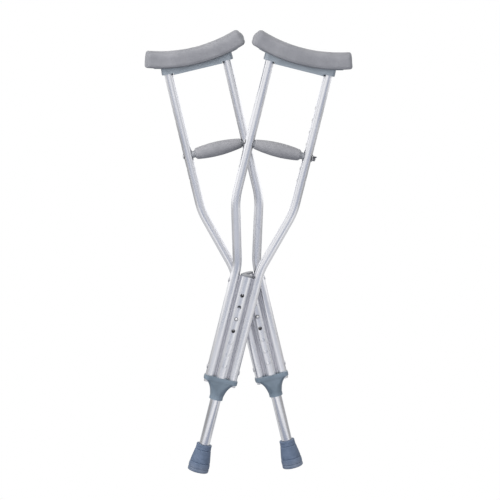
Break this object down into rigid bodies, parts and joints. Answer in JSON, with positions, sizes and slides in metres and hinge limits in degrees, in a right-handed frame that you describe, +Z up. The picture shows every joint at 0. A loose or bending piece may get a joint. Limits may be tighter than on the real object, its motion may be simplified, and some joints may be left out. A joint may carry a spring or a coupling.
{
  "type": "pair of underarm crutches",
  "caption": "Crossed pair of aluminium underarm crutches with curved foam pads, bolted hand grips, push-button telescopic legs and rubber tips.",
  "frame": {"origin": "on the floor, midway between the two crutches' centre planes and on the vertical line through the point where their centre lines cross", "axes": "+Z up, +X to the right as seen from the front, +Y away from the viewer; the front crutch is at -Y and leans its top to +X, the back crutch is at +Y and leans its top to -X"},
  "size_m": [0.4292, 0.077, 0.9213],
  "materials": {
    "anodised_aluminium": "satin anodised, faint lengthwise drawing lines",
    "rivet_aluminium": "satin",
    "pad_foam": "matte skinned foam",
    "grip_foam": "matte skinned foam",
    "tip_rubber": "matte moulded rubber",
    "slate_plastic": "fine moulded grain",
    "grey_plastic": "fine moulded grain",
    "dark_plastic": "fine moulded grain",
    "steel": "bright zinc plate",
    "spring_steel": "plain rolled strip"
  },
  "bodies": {
    "back_crutch_frame": {"back_outer_tube": "anodised_aluminium", "back_tube_plug": "dark_plastic", "back_left_upright": "anodised_aluminium", "back_right_upright": "anodised_aluminium", "back_tube_spacers": "grey_plastic", "back_frame_rivets": "rivet_aluminium", "back_lower_clamp": "slate_plastic", "back_clamp_rivets": "rivet_aluminium", "back_underarm_saddle": "slate_plastic", "back_saddle_rivets": "rivet_aluminium", "back_underarm_pad": "pad_foam"},
    "back_crutch_leg": {"back_rubber_tip": "tip_rubber", "back_tip_washer": "steel", "back_leg_tube": "anodised_aluminium", "back_leg_glide": "dark_plastic", "back_snap_spring": "spring_steel"},
    "back_crutch_front_button": {"back_front_button": "steel"},
    "back_crutch_rear_button": {"back_rear_button": "steel"},
    "back_crutch_grip": {"back_grip_core": "dark_plastic", "back_grip_foam": "grip_foam", "back_grip_end_caps": "grey_plastic"},
    "back_crutch_bolt": {"back_grip_bolt": "steel"},
    "back_crutch_washer": {"back_grip_washer": "steel"},
    "back_crutch_nut": {"back_wing_nut": "steel"},
    "front_crutch_frame": {"front_outer_tube": "anodised_aluminium", "front_tube_plug": "dark_plastic", "front_left_upright": "anodised_aluminium", "front_right_upright": "anodised_aluminium", "front_tube_spacers": "grey_plastic", "front_frame_rivets": "rivet_aluminium", "front_lower_clamp": "slate_plastic", "front_clamp_rivets": "rivet_aluminium", "front_underarm_saddle": "slate_plastic", "front_saddle_rivets": "rivet_aluminium", "front_underarm_pad": "pad_foam"},
    "front_crutch_leg": {"front_rubber_tip": "tip_rubber", "front_tip_washer": "steel", "front_leg_tube": "anodised_aluminium", "front_leg_glide": "dark_plastic", "front_snap_spring": "spring_steel"},
    "front_crutch_front_button": {"front_front_button": "steel"},
    "front_crutch_rear_button": {"front_rear_button": "steel"},
    "front_crutch_grip": {"front_grip_core": "dark_plastic", "front_grip_foam": "grip_foam", "front_grip_end_caps": "grey_plastic"},
    "front_crutch_bolt": {"front_grip_bolt": "steel"},
    "front_crutch_washer": {"front_grip_washer": "steel"},
    "front_crutch_nut": {"front_wing_nut": "steel"}
  },
  "joints": [
    {"name": "front_leg_slide", "type": "slide", "parent": "front_crutch_frame", "child": "front_crutch_leg", "axis": [0.236, 0, 0.9718], "range_m": [-0.1016, 0.0508]},
    {"name": "front_front_button_press", "type": "slide", "parent": "front_crutch_leg", "child": "front_crutch_front_button", "axis": [0, 1, 0], "range_m": [0, 0.0043], "stiffness_N_per_m": 900, "deforming": ["front_snap_spring"]},
    {"name": "front_rear_button_press", "type": "slide", "parent": "front_crutch_leg", "child": "front_crutch_rear_button", "axis": [0, -1, 0], "range_m": [0, 0.0043], "stiffness_N_per_m": 900, "deforming": ["front_snap_spring"]},
    {"name": "front_grip_height_slide", "type": "slide", "parent": "front_crutch_frame", "child": "front_crutch_grip", "axis": [0.236, 0, 0.9718], "range_m": [-0.0508, 0.1016]},
    {"name": "front_bolt_pull", "type": "slide", "parent": "front_crutch_grip", "child": "front_crutch_bolt", "axis": [-0.9718, 0, 0.236], "range_m": [0, 0.156]},
    {"name": "front_washer_slide", "type": "slide", "parent": "front_crutch_grip", "child": "front_crutch_washer", "axis": [0.9718, 0, -0.236], "range_m": [0, 0.00635]},
    {"name": "front_nut_spin", "type": "hinge", "parent": "front_crutch_washer", "child": "front_crutch_nut", "pos_m": [0.13518, -0.016, 0.6605], "axis": [0.9718, 0, -0.236], "range_deg": [0, 1800]},
    {"name": "back_leg_slide", "type": "slide", "parent": "back_crutch_frame", "child": "back_crutch_leg", "axis": [-0.236, 0, 0.9718], "range_m": [-0.1016, 0.0508]},
    {"name": "back_front_button_press", "type": "slide", "parent": "back_crutch_leg", "child": "back_crutch_front_button", "axis": [0, 1, 0], "range_m": [0, 0.0043], "stiffness_N_per_m": 900, "deforming": ["back_snap_spring"]},
    {"name": "back_rear_button_press", "type": "slide", "parent": "back_crutch_leg", "child": "back_crutch_rear_button", "axis": [0, -1, 0], "range_m": [0, 0.0043], "stiffness_N_per_m": 900, "deforming": ["back_snap_spring"]},
    {"name": "back_grip_height_slide", "type": "slide", "parent": "back_crutch_frame", "child": "back_crutch_grip", "axis": [-0.236, 0, 0.9718], "range_m": [-0.0508, 0.1016]},
    {"name": "back_bolt_pull", "type": "slide", "parent": "back_crutch_grip", "child": "back_crutch_bolt", "axis": [-0.9718, 0, -0.236], "range_m": [0, 0.156]},
    {"name": "back_washer_slide", "type": "slide", "parent": "back_crutch_grip", "child": "back_crutch_washer", "axis": [0.9718, 0, 0.236], "range_m": [0, 0.00635]},
    {"name": "back_nut_spin", "type": "hinge", "parent": "back_crutch_washer", "child": "back_crutch_nut", "pos_m": [0.01058, 0.016, 0.6959], "axis": [0.9718, 0, 0.236], "range_deg": [0, 1800]},
    {"name": "front_crutch_lift_off", "type": "slide", "parent": "back_crutch_frame", "child": "front_crutch_frame", "axis": [0, -1, 0], "range_m": [0, 0.15]}
  ],
  "couplings": [
    {"joint": "front_nut_spin", "follows": "front_washer_slide", "rad_per_m": 4947.4},
    {"joint": "back_nut_spin", "follows": "back_washer_slide", "rad_per_m": 4947.4}
  ]
}
